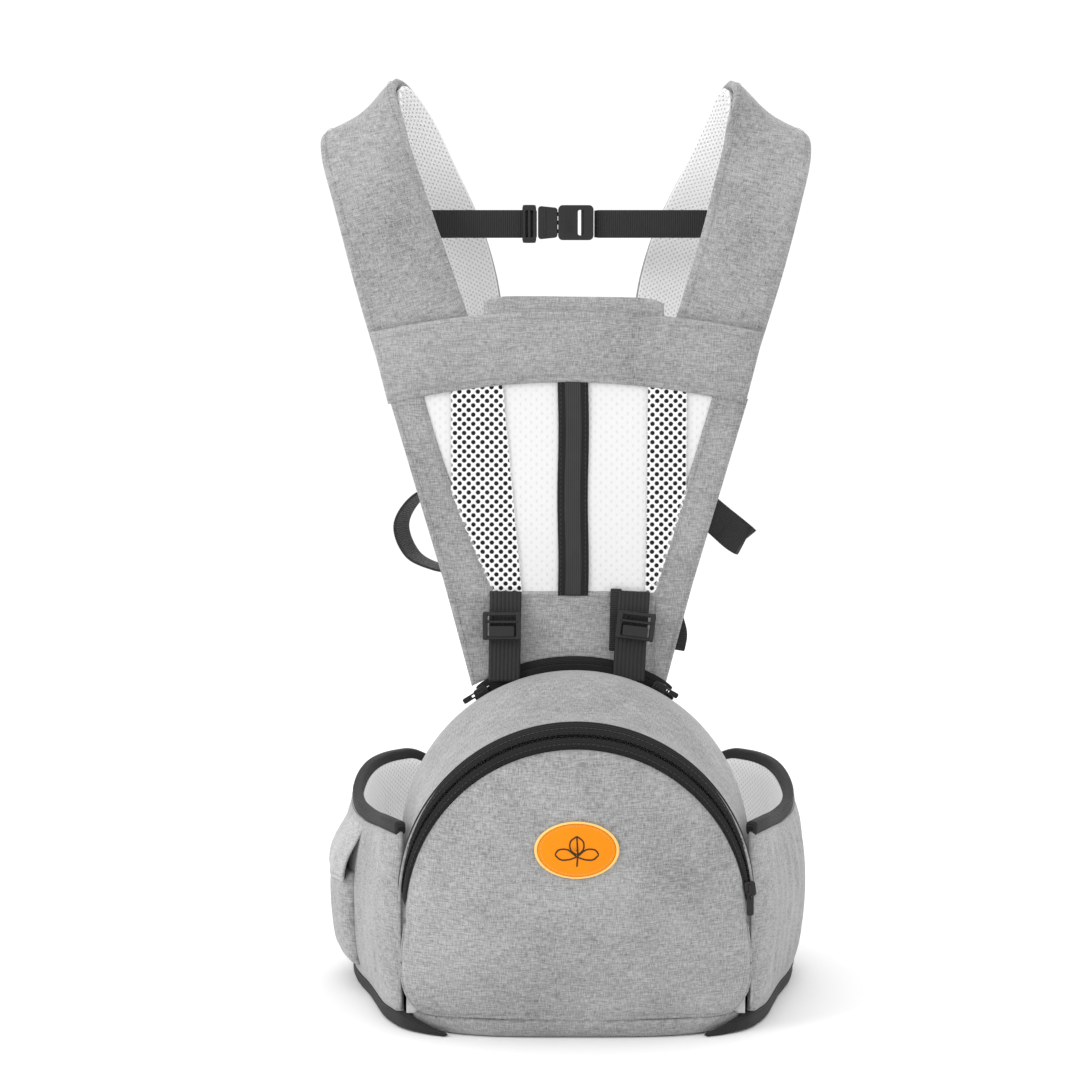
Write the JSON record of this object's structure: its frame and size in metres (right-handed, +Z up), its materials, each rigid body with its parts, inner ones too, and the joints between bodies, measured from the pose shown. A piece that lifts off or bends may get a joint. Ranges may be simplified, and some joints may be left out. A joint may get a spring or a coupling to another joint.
{
  "type": "hip-seat baby carrier backpack",
  "caption": "Hip-seat baby carrier: padded seat with zip pouch, wrap-round waist belt, folding mesh-window back panel, two padded looped shoulder straps and webbing with buckles.",
  "frame": {"origin": "centre of the flat underside of the seat, on the surface it stands on", "axes": "+Z up, the pouch and its badge face -Y, +X is the right side as the pouch is looked at"},
  "size_m": [0.3885, 0.3783, 0.7205],
  "materials": {
    "heather_fabric": "heather woven polyester",
    "base_fabric": "plain woven",
    "air_mesh": "spacer mesh",
    "perforated_mesh": "perforated knit",
    "webbing": "ribbed webbing",
    "binding": "grosgrain binding",
    "zip_tape": "herringbone zip tape",
    "zip_coil": "nylon coil",
    "zip_metal": "dark plated",
    "buckle_plastic": "moulded acetal",
    "badge": "stitched patch",
    "foam": "expanded foam",
    "inner_board": "plain sheet"
  },
  "bodies": {
    "seat": {"badge_oval": "badge", "belt_bottom_binding_left": "binding", "belt_bottom_binding_right": "binding", "belt_buckle_female": "buckle_plastic", "belt_lining_left": "air_mesh", "belt_lining_right": "air_mesh", "belt_top_binding_left": "binding", "belt_top_binding_right": "binding", "belt_webbing_right": "webbing", "belt_wing_left": "heather_fabric", "belt_wing_right": "heather_fabric", "panel_zip_tape_lower": "zip_tape", "pouch_front_panel": "heather_fabric", "pouch_zip_coil": "zip_coil", "pouch_zip_tape_lower": "zip_tape", "pouch_zip_tape_upper": "zip_tape", "seat_back_pad": "air_mesh", "seat_base_board": "inner_board", "seat_base_panel": "base_fabric", "seat_foam_core": "foam", "seat_top_cover": "heather_fabric", "side_pocket": "heather_fabric"},
    "back_panel": {"panel_lower": "heather_fabric", "panel_border_left": "heather_fabric", "panel_border_right": "heather_fabric", "window_mesh": "air_mesh", "window_strip_left": "perforated_mesh", "window_strip_right": "perforated_mesh", "centre_zip_tape": "zip_tape", "centre_zip_cover": "zip_tape", "yoke_band": "heather_fabric", "head_tab": "heather_fabric", "panel_zip_tape_upper": "zip_tape", "shoulder_strap_left": "heather_fabric", "shoulder_strap_right": "heather_fabric", "strap_mesh_left": "air_mesh", "strap_mesh_right": "air_mesh", "underarm_webbing_left": "webbing", "underarm_webbing_right": "webbing", "chest_webbing_right": "webbing", "chest_buckle_female": "buckle_plastic", "adjuster_webbing_left": "webbing", "adjuster_webbing_right": "webbing", "side_tab_right": "webbing"},
    "zip_slider": {"pouch_zip_slider": "zip_metal"},
    "zip_pull": {"pouch_zip_pull": "zip_metal"},
    "chest_left_half": {"chest_buckle_male": "buckle_plastic", "chest_webbing_left": "webbing"},
    "chest_keeper": {"chest_triglide": "buckle_plastic"},
    "belt_left_half": {"belt_buckle_male": "buckle_plastic", "belt_webbing_left": "webbing"},
    "belt_keeper": {"belt_triglide": "buckle_plastic"},
    "pocket_flap": {"side_pocket_flap": "heather_fabric"},
    "panel_slider_left": {"panel_zip_slider_left": "zip_metal"},
    "panel_slider_right": {"panel_zip_slider_right": "zip_metal"},
    "front_lock_left": {"adjuster_lock_left": "buckle_plastic"},
    "front_lock_right": {"adjuster_lock_right": "buckle_plastic"},
    "underarm_lock_left": {"underarm_lock_left": "buckle_plastic"},
    "underarm_lock_right": {"underarm_lock_right": "buckle_plastic"}
  },
  "joints": [
    {"name": "panel_fold", "type": "hinge", "parent": "seat", "child": "back_panel", "pos_m": [0, 0.046, 0.262], "axis": [1, 0, 0], "range_deg": [0, 62]},
    {"name": "pouch_zip_run", "type": "hinge", "parent": "seat", "child": "zip_slider", "pos_m": [0, -0.085, 0.0945], "axis": [0, 1, 0], "range_deg": [-166, 0]},
    {"name": "zip_pull_flip", "type": "hinge", "parent": "zip_slider", "child": "zip_pull", "pos_m": [0.13002, -0.0908, 0.10846], "axis": [1, 0, 0], "range_deg": [-150, 0]},
    {"name": "panel_zip_left_run", "type": "hinge", "parent": "seat", "child": "panel_slider_left", "pos_m": [0, 0.036, 0.123], "axis": [0, 1, 0], "range_deg": [0, 26]},
    {"name": "panel_zip_right_run", "type": "hinge", "parent": "seat", "child": "panel_slider_right", "pos_m": [0, 0.036, 0.123], "axis": [0, 1, 0], "range_deg": [-23, 0]},
    {"name": "chest_buckle_release", "type": "slide", "parent": "back_panel", "child": "chest_left_half", "axis": [-1, 0, 0], "range_m": [0, 0.024]},
    {"name": "chest_keeper_slide", "type": "slide", "parent": "chest_left_half", "child": "chest_keeper", "axis": [-1, 0, 0], "range_m": [0, 0.04]},
    {"name": "belt_buckle_release", "type": "slide", "parent": "seat", "child": "belt_left_half", "axis": [-1, 0, 0], "range_m": [0, 0.028]},
    {"name": "belt_keeper_slide", "type": "slide", "parent": "seat", "child": "belt_keeper", "axis": [1, 0, 0], "range_m": [-0.016, 0.02]},
    {"name": "front_lock_left_slide", "type": "slide", "parent": "back_panel", "child": "front_lock_left", "axis": [0, 0, 1], "range_m": [-0.012, 0.01]},
    {"name": "front_lock_right_slide", "type": "slide", "parent": "back_panel", "child": "front_lock_right", "axis": [0, 0, 1], "range_m": [-0.012, 0.01]},
    {"name": "underarm_lock_left_slide", "type": "slide", "parent": "back_panel", "child": "underarm_lock_left", "axis": [0, 0, 1], "range_m": [-0.03, 0]},
    {"name": "underarm_lock_right_slide", "type": "slide", "parent": "back_panel", "child": "underarm_lock_right", "axis": [0, 0, 1], "range_m": [-0.03, 0]},
    {"name": "pocket_flap_lift", "type": "hinge", "parent": "seat", "child": "pocket_flap", "pos_m": [-0.183, 0.083, 0.1315], "axis": [-0.105, 0.9945, 0], "range_deg": [0, 95]}
  ]
}
